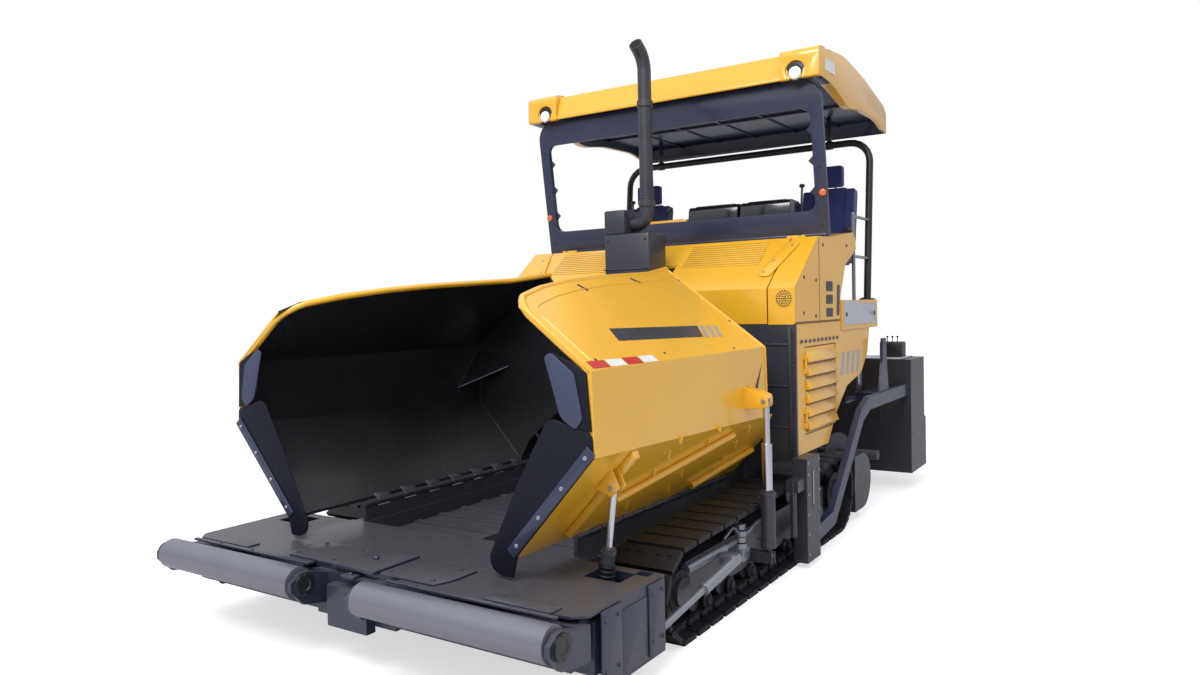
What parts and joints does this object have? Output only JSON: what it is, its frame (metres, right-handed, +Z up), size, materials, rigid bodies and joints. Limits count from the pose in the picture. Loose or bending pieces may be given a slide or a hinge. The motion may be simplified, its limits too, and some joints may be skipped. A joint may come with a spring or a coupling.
{
  "type": "asphalt paver",
  "caption": "Crawler asphalt paver with a folding hopper, push rollers, augers, a raised screed and a roofed operator's platform.",
  "frame": {"origin": "on the ground, midway between both sides and midway between the push rollers and the walkway", "axes": "+X to the machine's left, +Y to its rear where the screed is, +Z up"},
  "size_m": [3, 6.8999, 3.9399],
  "materials": {
    "yellow_paint": "gloss",
    "dark_paint": "satin",
    "worn_steel": "worn",
    "bright_steel": "polished",
    "track_steel": "worn",
    "rubber": "matt",
    "seat_cover": "satin",
    "black_cover": "matt",
    "exhaust_steel": "satin"
  },
  "bodies": {
    "tractor": {"auger_carrier": "dark_paint", "auger_guards": "dark_paint", "bulkhead": "dark_paint", "canopy_frame": "yellow_paint", "canopy_roof": "yellow_paint", "chassis_frame": "dark_paint", "console": "yellow_paint", "console_covers": "black_cover", "conveyor": "worn_steel", "engine_block": "dark_paint", "exhaust_pipe": "exhaust_steel", "hopper_back": "worn_steel", "lift_brackets": "dark_paint", "muffler": "dark_paint", "platform_boxes": "yellow_paint", "platform_floor": "dark_paint", "push_beam": "dark_paint", "rear_body": "yellow_paint", "rear_hoop": "dark_paint", "seat_left": "seat_cover", "seat_right": "seat_cover", "side_cover_left": "yellow_paint", "side_cover_right": "yellow_paint", "side_panel_left": "yellow_paint", "side_panel_right": "yellow_paint", "tow_guides": "dark_paint", "track_frame_left": "dark_paint", "track_frame_right": "dark_paint", "track_left": "track_steel", "track_right": "track_steel", "wing_cylinder_feet": "dark_paint"},
    "wing_left": {"wing_left": "yellow_paint", "wing_apron_left": "rubber"},
    "wing_front_barrel_left": {"wing_front_barrel_left": "dark_paint"},
    "wing_front_rod_left": {"wing_front_rod_left": "bright_steel"},
    "wing_rear_barrel_left": {"wing_rear_barrel_left": "dark_paint"},
    "wing_rear_rod_left": {"wing_rear_rod_left": "bright_steel"},
    "push_roller_left": {"push_roller_left": "worn_steel"},
    "side_door_left": {"side_door_left": "yellow_paint"},
    "auger_left": {"auger_left": "worn_steel"},
    "wing_right": {"wing_right": "yellow_paint", "wing_apron_right": "rubber"},
    "wing_front_barrel_right": {"wing_front_barrel_right": "dark_paint"},
    "wing_front_rod_right": {"wing_front_rod_right": "bright_steel"},
    "wing_rear_barrel_right": {"wing_rear_barrel_right": "dark_paint"},
    "wing_rear_rod_right": {"wing_rear_rod_right": "bright_steel"},
    "push_roller_right": {"push_roller_right": "worn_steel"},
    "side_door_right": {"side_door_right": "yellow_paint"},
    "auger_right": {"auger_right": "worn_steel"},
    "hood": {"hood": "yellow_paint"},
    "screed": {"tow_arm_left": "dark_paint", "tow_arm_right": "dark_paint", "screed_body": "dark_paint", "screed_walkway": "dark_paint"},
    "lift_barrels": {"lift_barrels": "dark_paint"},
    "lift_rods": {"lift_rods": "bright_steel"}
  },
  "joints": [
    {"name": "wing_left_fold", "type": "hinge", "parent": "tractor", "child": "wing_left", "pos_m": [0.85, 0, 0.59], "axis": [0, 1, 0], "range_deg": [0, 27]},
    {"name": "wing_front_barrel_left_swing", "type": "hinge", "parent": "tractor", "child": "wing_front_barrel_left", "pos_m": [1.18, -2.61, 0.33], "axis": [0, 1, 0], "range_deg": [0, 20]},
    {"name": "wing_front_rod_left_stroke", "type": "slide", "parent": "wing_front_barrel_left", "child": "wing_front_rod_left", "axis": [0.1277, 0, 0.9918], "range_m": [-0.1835, 0]},
    {"name": "wing_rear_barrel_left_swing", "type": "hinge", "parent": "tractor", "child": "wing_rear_barrel_left", "pos_m": [1.44, -1.07, 0.24], "axis": [0, 1, 0], "range_deg": [0, 20]},
    {"name": "wing_rear_rod_left_stroke", "type": "slide", "parent": "wing_rear_barrel_left", "child": "wing_rear_rod_left", "axis": [-0.003, 0, 1], "range_m": [-0.2985, 0]},
    {"name": "push_roller_left_spin", "type": "hinge", "parent": "tractor", "child": "push_roller_left", "pos_m": [0.8, -3.365, 0.44], "axis": [1, 0, 0], "continuous": true},
    {"name": "auger_left_spin", "type": "hinge", "parent": "tractor", "child": "auger_left", "pos_m": [0.7, 1.85, 0.42], "axis": [1, 0, 0], "continuous": true},
    {"name": "side_door_left_swing", "type": "hinge", "parent": "tractor", "child": "side_door_left", "pos_m": [1.366, -0.137, 1.2], "axis": [0, 0, -1], "range_deg": [0, 90]},
    {"name": "wing_right_fold", "type": "hinge", "parent": "tractor", "child": "wing_right", "pos_m": [-0.85, 0, 0.59], "axis": [0, -1, 0], "range_deg": [0, 27]},
    {"name": "wing_front_barrel_right_swing", "type": "hinge", "parent": "tractor", "child": "wing_front_barrel_right", "pos_m": [-1.18, -2.61, 0.33], "axis": [0, -1, 0], "range_deg": [0, 20]},
    {"name": "wing_front_rod_right_stroke", "type": "slide", "parent": "wing_front_barrel_right", "child": "wing_front_rod_right", "axis": [-0.1277, 0, 0.9918], "range_m": [-0.1835, 0]},
    {"name": "wing_rear_barrel_right_swing", "type": "hinge", "parent": "tractor", "child": "wing_rear_barrel_right", "pos_m": [-1.44, -1.07, 0.24], "axis": [0, -1, 0], "range_deg": [0, 20]},
    {"name": "wing_rear_rod_right_stroke", "type": "slide", "parent": "wing_rear_barrel_right", "child": "wing_rear_rod_right", "axis": [0.003, 0, 1], "range_m": [-0.2985, 0]},
    {"name": "push_roller_right_spin", "type": "hinge", "parent": "tractor", "child": "push_roller_right", "pos_m": [-0.8, -3.365, 0.44], "axis": [1, 0, 0], "continuous": true},
    {"name": "auger_right_spin", "type": "hinge", "parent": "tractor", "child": "auger_right", "pos_m": [-0.7, 1.85, 0.42], "axis": [1, 0, 0], "continuous": true},
    {"name": "side_door_right_swing", "type": "hinge", "parent": "tractor", "child": "side_door_right", "pos_m": [-1.366, -0.137, 1.2], "axis": [0, 0, 1], "range_deg": [0, 90]},
    {"name": "hood_lift", "type": "hinge", "parent": "tractor", "child": "hood", "pos_m": [0, 0.409, 2.378], "axis": [-1, 0, 0], "range_deg": [0, 45]},
    {"name": "screed_lift", "type": "hinge", "parent": "tractor", "child": "screed", "pos_m": [0, -0.37, 0.165], "axis": [1, 0, 0], "range_deg": [-2.6, 1.5]},
    {"name": "lift_barrels_swing", "type": "hinge", "parent": "tractor", "child": "lift_barrels", "pos_m": [0, 1.67, 1.56], "axis": [1, 0, 0], "range_deg": [-3, 5]},
    {"name": "lift_rods_stroke", "type": "slide", "parent": "lift_barrels", "child": "lift_rods", "axis": [0, 0, -1], "range_m": [-0.06, 0.1]}
  ],
  "couplings": [
    {"joint": "wing_front_barrel_left_swing", "follows": "wing_left_fold", "ratio": 0.7032},
    {"joint": "wing_front_rod_left_stroke", "follows": "wing_left_fold", "m_per_rad": -0.385},
    {"joint": "wing_rear_barrel_left_swing", "follows": "wing_left_fold", "ratio": 0.6937},
    {"joint": "wing_rear_rod_left_stroke", "follows": "wing_left_fold", "m_per_rad": -0.6284},
    {"joint": "wing_front_barrel_right_swing", "follows": "wing_right_fold", "ratio": 0.7032},
    {"joint": "wing_front_rod_right_stroke", "follows": "wing_right_fold", "m_per_rad": -0.385},
    {"joint": "wing_rear_barrel_right_swing", "follows": "wing_right_fold", "ratio": 0.6937},
    {"joint": "wing_rear_rod_right_stroke", "follows": "wing_right_fold", "m_per_rad": -0.6284},
    {"joint": "lift_barrels_swing", "follows": "screed_lift", "ratio": -1.75},
    {"joint": "lift_rods_stroke", "follows": "screed_lift", "m_per_rad": -2.04}
  ]
}
